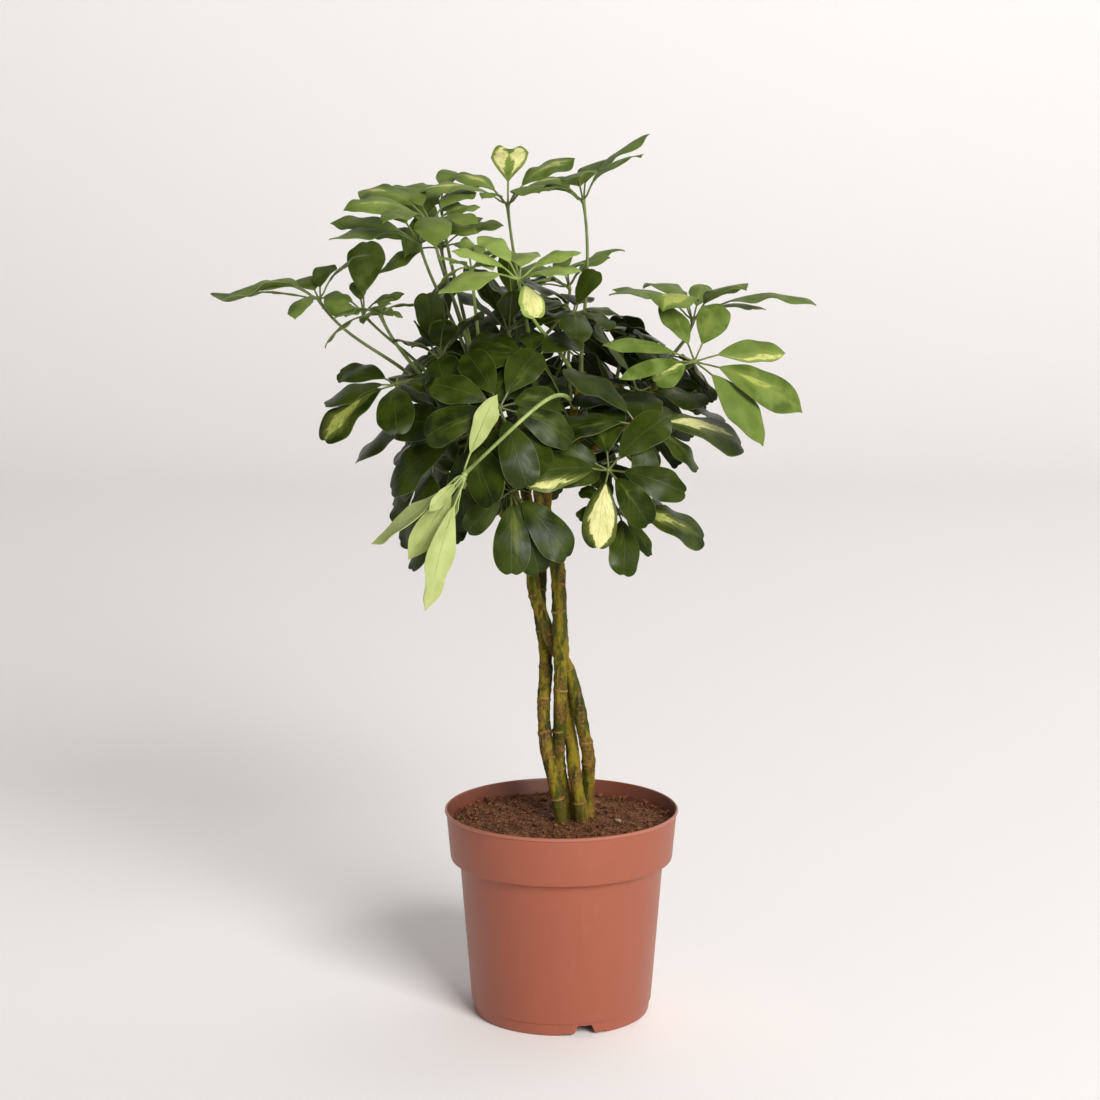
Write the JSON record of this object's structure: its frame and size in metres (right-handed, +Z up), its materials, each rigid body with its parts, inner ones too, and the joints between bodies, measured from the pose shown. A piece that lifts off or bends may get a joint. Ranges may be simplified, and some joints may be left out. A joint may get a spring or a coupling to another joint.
{
  "type": "potted umbrella plant",
  "caption": "Variegated umbrella plant with braided woody stems and whorled leaflets, growing in a round plastic nursery pot.",
  "frame": {"origin": "centre of the pot's underside, on the surface that it stands on", "axes": "+Z up along the pot's axis, -Y towards the side that the picture shows, +X to the right as seen there"},
  "size_m": [0.5253, 0.3518, 0.7844],
  "materials": {
    "pot": "terracotta-coloured moulded plastic, satin",
    "soil": "damp brown potting soil, crumbly and matt",
    "bark": "green-brown woody bark with leaf scars, matt",
    "leaf_dark": "dark green leathery leaf, glossy above and duller below",
    "leaf_young": "mid green young leaf with cream splashes, satin",
    "leaf_fresh": "light green new leaf, satin",
    "leaf_pale": "pale green hanging leaf seen from below, matt"
  },
  "bodies": {
    "root": {"pot": "pot", "soil": "soil", "stem_front_left": "bark", "stem_centre": "bark", "stem_front_right": "bark", "stem_right": "bark", "leaf_top_heart": "leaf_young", "leaf_top_mast": "leaf_young", "leaf_crest_front": "leaf_young", "leaf_crest_left": "leaf_young", "leaf_crest_back": "leaf_young", "leaf_crest_right": "leaf_young", "leaf_far_left": "leaf_young", "leaf_far_left_standing": "leaf_young", "leaf_far_left_back": "leaf_young", "leaf_fresh_left": "leaf_fresh", "leaf_fresh_front": "leaf_fresh", "leaf_crown_back": "leaf_young", "leaf_right_high": "leaf_young", "leaf_right_open": "leaf_young", "leaf_front_hanging": "leaf_pale", "leaf_front_left_wide": "leaf_dark", "leaf_front_fan": "leaf_dark", "leaf_front_low": "leaf_dark", "leaf_right_low": "leaf_dark", "leaf_front_right_hang": "leaf_dark", "leaf_right_tier": "leaf_dark", "leaf_left_tier": "leaf_dark", "leaf_left_upright": "leaf_dark", "leaf_front_high": "leaf_dark", "leaf_right_upright": "leaf_dark", "leaf_crown_dark": "leaf_dark", "leaf_front_left_shield": "leaf_dark", "leaf_right_shelf": "leaf_dark", "leaf_left_low": "leaf_dark", "leaf_left_under": "leaf_dark", "leaf_left_shelf": "leaf_dark", "leaf_right_side": "leaf_dark", "leaf_back_right_high": "leaf_dark", "leaf_back_right": "leaf_dark", "leaf_back_high": "leaf_dark", "leaf_back_left": "leaf_dark", "leaf_back_left_high": "leaf_dark", "leaf_back_left_tier": "leaf_dark", "leaf_back_right_low": "leaf_dark", "leaf_back_low": "leaf_dark", "leaf_back_left_low": "leaf_dark", "leaf_back_left_under": "leaf_dark", "leaf_crown_back_right": "leaf_dark", "leaf_crown_back_left": "leaf_dark", "leaf_back_under": "leaf_dark"}
  },
  "joints": []
}
